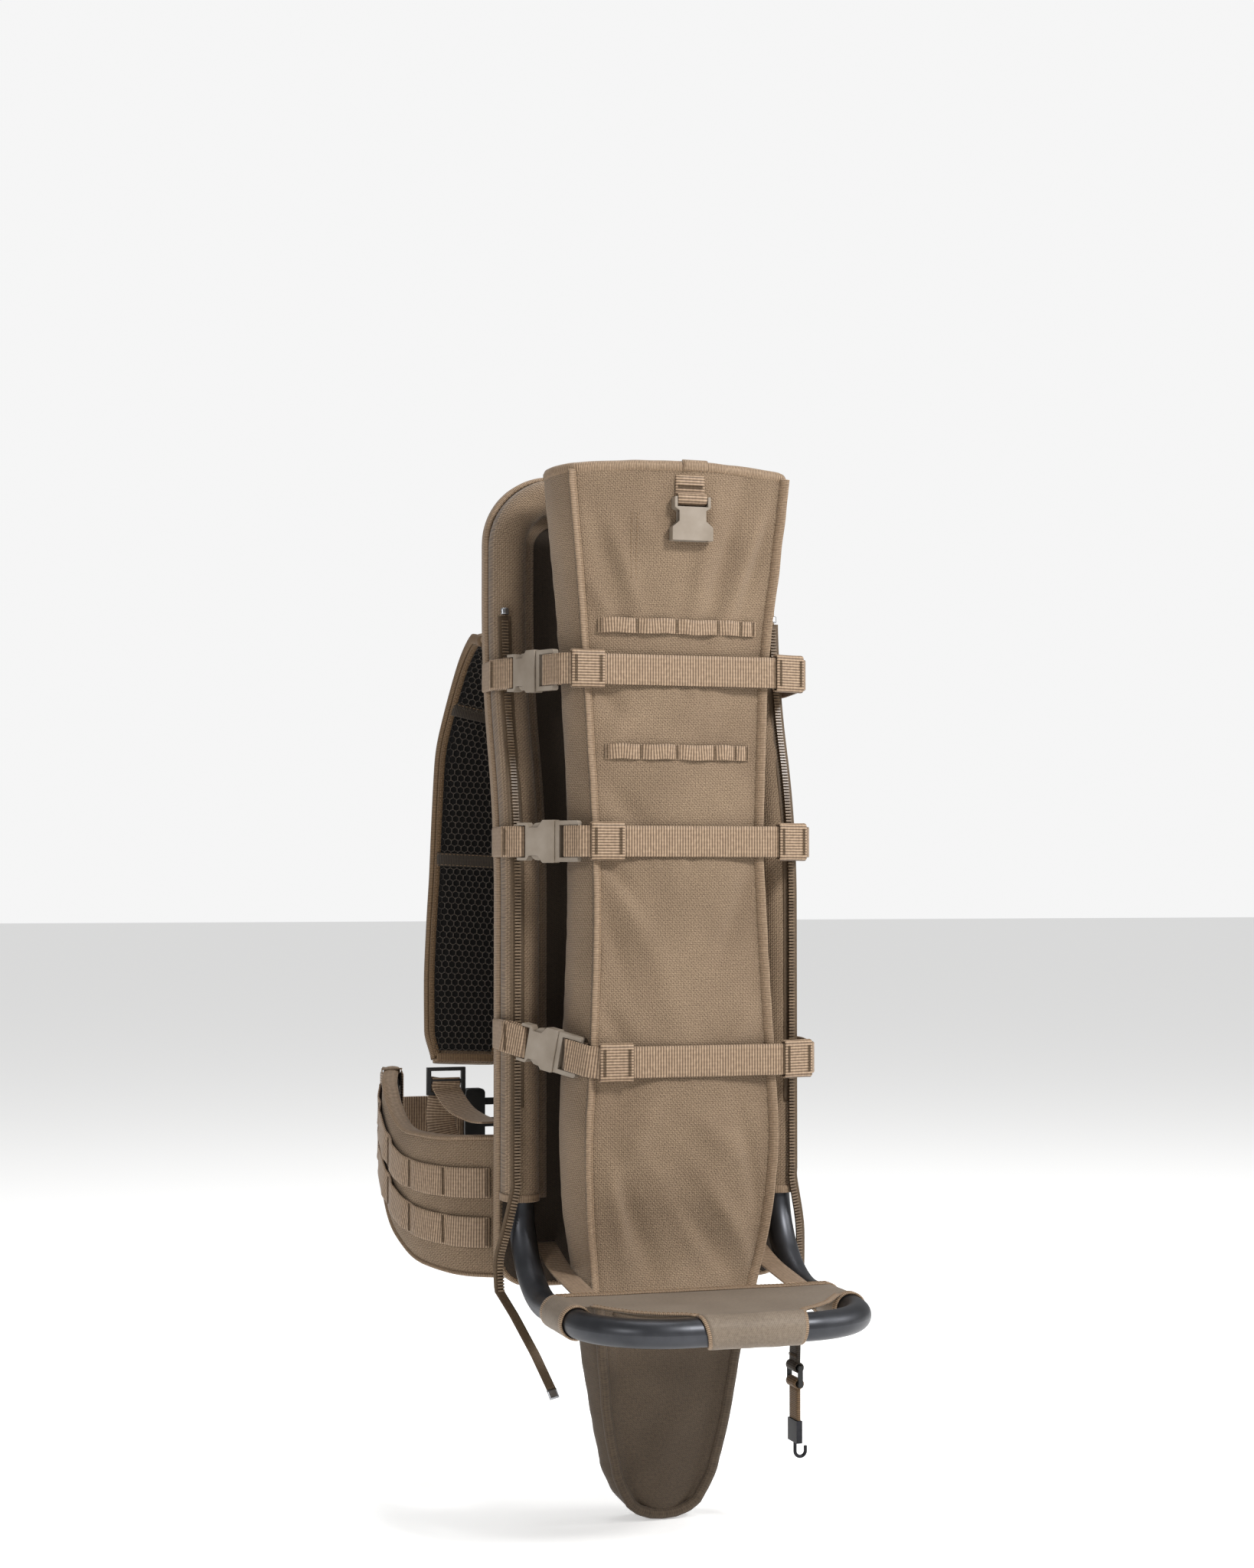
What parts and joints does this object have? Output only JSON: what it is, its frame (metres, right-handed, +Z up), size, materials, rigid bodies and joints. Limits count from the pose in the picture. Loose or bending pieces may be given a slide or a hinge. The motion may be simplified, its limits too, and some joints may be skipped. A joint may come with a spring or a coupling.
{
  "type": "external frame hunting backpack",
  "caption": "Tube-frame hauling pack with a fixed load shelf, a long strapped scabbard, and a padded shoulder and hip harness.",
  "frame": {"origin": "middle of the back panel on the centre plane of the frame's legs", "axes": "+Z up, -Y to the load side, +Y to the wearer, X across the pack"},
  "size_m": [0.3627, 0.4894, 0.873],
  "materials": {
    "tube": "satin dark anodised",
    "rivet": "satin",
    "pack_cloth": "coated nylon weave",
    "coated_cloth": "smooth coated cloth",
    "webbing": "ribbed nylon webbing",
    "binding": "ribbed nylon tape",
    "pad_mesh": "open spacer mesh over foam",
    "buckle": "satin moulded acetal",
    "black_plastic": "satin moulded acetal",
    "sheet": "polyethylene sheet",
    "zip": "moulded teeth on woven tape",
    "wire": "plated"
  },
  "bodies": {
    "pack": {"back_pads": "pad_mesh", "buckle_plug_lower": "buckle", "buckle_plug_middle": "buckle", "buckle_plug_upper": "buckle", "buckle_sockets": "buckle", "cross_strap_lower": "webbing", "cross_strap_middle": "webbing", "cross_strap_upper": "webbing", "daisy_chains": "webbing", "frame_lower_loop": "tube", "frame_sleeve_left": "pack_cloth", "frame_sleeve_right": "pack_cloth", "frame_splices": "rivet", "frame_upper_hoop": "tube", "harness_anchors": "webbing", "lid_buckle_loop": "webbing", "lumbar_pad": "pad_mesh", "panel_backing": "pack_cloth", "panel_binding": "binding", "panel_face": "pack_cloth", "panel_stiffener": "sheet", "scabbard_back": "pack_cloth", "scabbard_front": "pack_cloth", "scabbard_mouth_binding": "binding", "scabbard_piping": "binding", "scabbard_side_left": "pack_cloth", "scabbard_side_right": "pack_cloth", "scabbard_toe": "pack_cloth", "shelf_anchor_straps": "webbing", "shelf_sling": "coated_cloth", "side_zip_left": "zip", "side_zip_right": "zip", "strap_keepers_left": "webbing", "strap_keepers_right": "webbing", "strap_tabs": "webbing"},
    "prong_upper_top": {"buckle_prong_upper_top": "buckle"},
    "prong_upper_bottom": {"buckle_prong_upper_bottom": "buckle"},
    "prong_middle_top": {"buckle_prong_middle_top": "buckle"},
    "prong_middle_bottom": {"buckle_prong_middle_bottom": "buckle"},
    "prong_lower_top": {"buckle_prong_lower_top": "buckle"},
    "prong_lower_bottom": {"buckle_prong_lower_bottom": "buckle"},
    "lid_buckle": {"lid_buckle_socket": "buckle"},
    "belt_left": {"belt_wing_left": "pack_cloth", "belt_molle_left": "webbing", "belt_strap_left": "webbing", "belt_buckle_plug": "buckle"},
    "shoulder_left": {"shoulder_strap_left": "pad_mesh", "ladder_lock_left": "black_plastic", "lower_strap_left": "webbing"},
    "belt_right": {"belt_wing_right": "pack_cloth", "belt_molle_right": "webbing", "belt_strap_right": "webbing", "belt_buckle_socket": "buckle"},
    "shoulder_right": {"shoulder_strap_right": "pad_mesh", "ladder_lock_right": "black_plastic", "lower_strap_right": "webbing"},
    "lash": {"lash_loop": "webbing", "lash_triglide": "black_plastic"},
    "lash_foot": {"lash_end": "webbing", "lash_hook": "wire"}
  },
  "joints": [
    {"name": "prong_upper_top_squeeze", "type": "hinge", "parent": "pack", "child": "prong_upper_top", "pos_m": [-0.10876, -0.037, 0.1806], "axis": [-0.9185, -0.3953, 0], "range_deg": [0, 12], "stiffness_Nm_per_rad": 0.25},
    {"name": "prong_upper_bottom_squeeze", "type": "hinge", "parent": "pack", "child": "prong_upper_bottom", "pos_m": [-0.10876, -0.037, 0.1614], "axis": [-0.9185, -0.3953, 0], "range_deg": [-12, 0], "stiffness_Nm_per_rad": 0.25},
    {"name": "prong_middle_top_squeeze", "type": "hinge", "parent": "pack", "child": "prong_middle_top", "pos_m": [-0.09852, -0.05588, 0.0406], "axis": [-0.7565, -0.654, 0], "range_deg": [0, 12], "stiffness_Nm_per_rad": 0.25},
    {"name": "prong_middle_bottom_squeeze", "type": "hinge", "parent": "pack", "child": "prong_middle_bottom", "pos_m": [-0.09852, -0.05588, 0.0214], "axis": [-0.7565, -0.654, 0], "range_deg": [-12, 0], "stiffness_Nm_per_rad": 0.25},
    {"name": "prong_lower_top_squeeze", "type": "hinge", "parent": "pack", "child": "prong_lower_top", "pos_m": [-0.09759, -0.0621, -0.12958], "axis": [-0.7707, -0.6372, 0], "range_deg": [0, 12], "stiffness_Nm_per_rad": 0.25},
    {"name": "prong_lower_bottom_squeeze", "type": "hinge", "parent": "pack", "child": "prong_lower_bottom", "pos_m": [-0.10009, -0.05908, -0.14837], "axis": [-0.7707, -0.6372, 0], "range_deg": [-12, 0], "stiffness_Nm_per_rad": 0.25},
    {"name": "lid_buckle_flip", "type": "hinge", "parent": "pack", "child": "lid_buckle", "pos_m": [0.0075, -0.08545, 0.311], "axis": [-1, 0, 0], "range_deg": [0, 150]},
    {"name": "belt_left_swing", "type": "hinge", "parent": "pack", "child": "belt_left", "pos_m": [-0.09, 0.038, -0.27], "axis": [0, 0, 1], "range_deg": [-8, 15]},
    {"name": "shoulder_left_swing", "type": "hinge", "parent": "pack", "child": "shoulder_left", "pos_m": [-0.126, 0.036, -0.204], "axis": [0.0771, 0.1157, 0.9903], "range_deg": [-6, 10]},
    {"name": "belt_right_swing", "type": "hinge", "parent": "pack", "child": "belt_right", "pos_m": [0.09, 0.038, -0.27], "axis": [0, 0, -1], "range_deg": [0, 30]},
    {"name": "shoulder_right_swing", "type": "hinge", "parent": "pack", "child": "shoulder_right", "pos_m": [0.126, 0.036, -0.204], "axis": [0.0771, -0.1157, -0.9903], "range_deg": [-6, 10]},
    {"name": "lash_swing", "type": "hinge", "parent": "pack", "child": "lash", "pos_m": [0.092, -0.097, -0.3297], "axis": [0, 1, 0], "range_deg": [-25, 40]},
    {"name": "lash_foot_swing", "type": "hinge", "parent": "lash", "child": "lash_foot", "pos_m": [0.092, -0.097, -0.4087], "axis": [0, 1, 0], "range_deg": [-50, 50]}
  ],
  "couplings": [
    {"joint": "prong_upper_bottom_squeeze", "follows": "prong_upper_top_squeeze", "ratio": -1},
    {"joint": "prong_middle_bottom_squeeze", "follows": "prong_middle_top_squeeze", "ratio": -1},
    {"joint": "prong_lower_bottom_squeeze", "follows": "prong_lower_top_squeeze", "ratio": -1}
  ]
}
